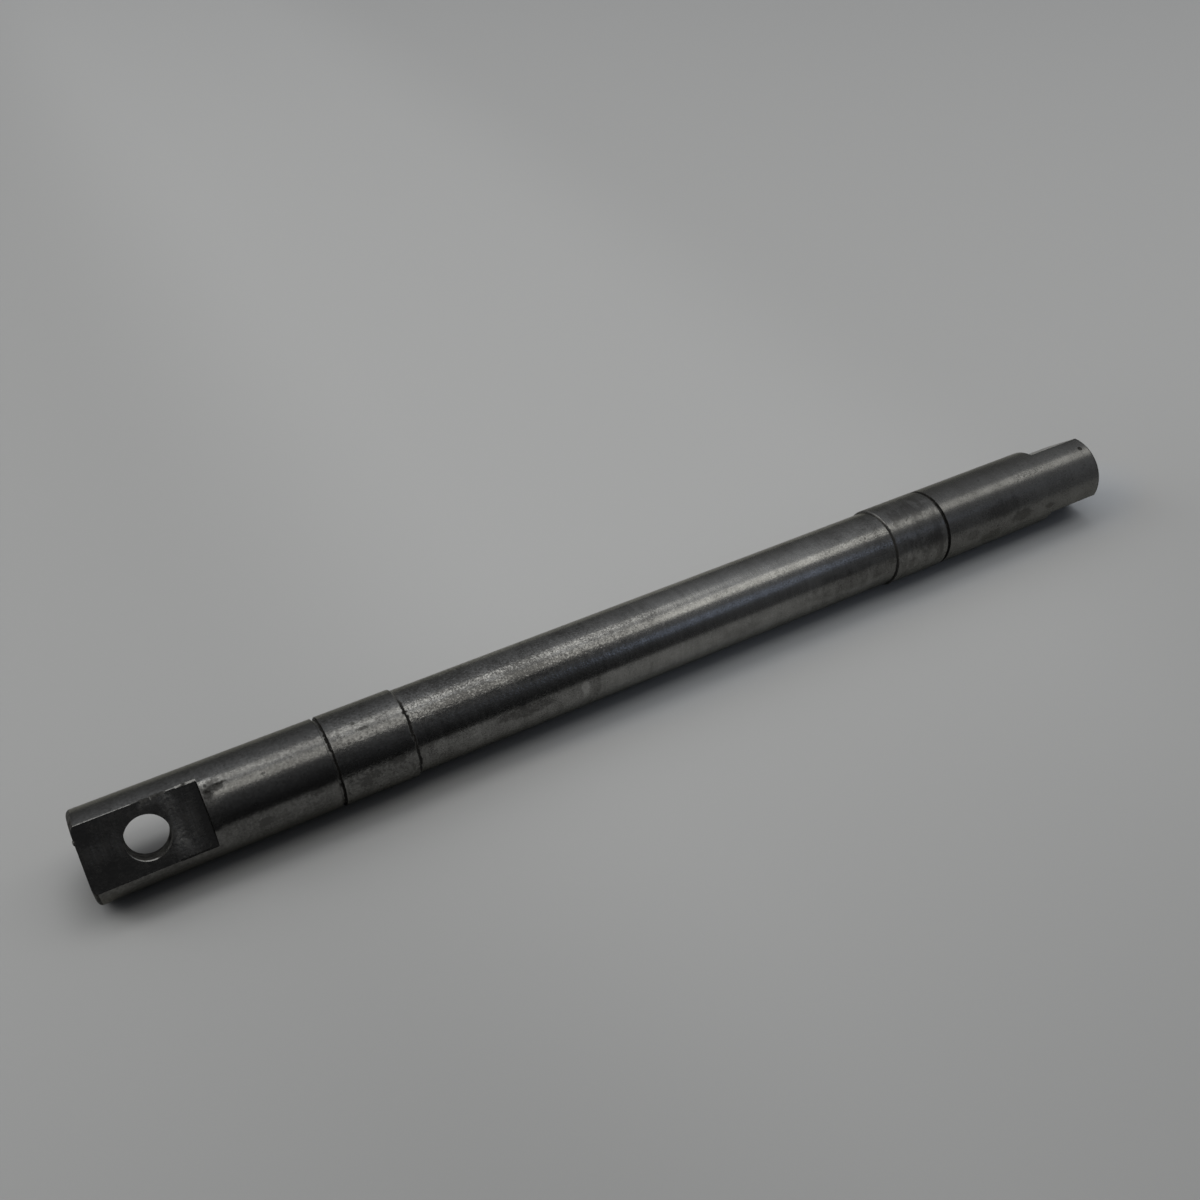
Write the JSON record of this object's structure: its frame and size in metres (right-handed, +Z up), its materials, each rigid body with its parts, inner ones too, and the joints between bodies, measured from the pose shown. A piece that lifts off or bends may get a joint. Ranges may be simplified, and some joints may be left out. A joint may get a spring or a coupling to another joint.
{
  "type": "crankshaft",
  "caption": "Straight steel crankshaft: ground bearing journals with retaining ring grooves, and flatted driving ends a quarter turn apart, the left one cross-drilled.",
  "frame": {"origin": "on the shaft's axis at mid-length", "axes": "+X along the shaft from the cross hole's end to the other end, +Z up as the shaft lies on its journals"},
  "size_m": [0.3404, 0.0254, 0.0254],
  "materials": {
    "shaft_steel": "bare steel: ground journals and ends, duller turned centre, dark milled flats"
  },
  "bodies": {
    "root": {"shaft": "shaft_steel"}
  },
  "joints": []
}
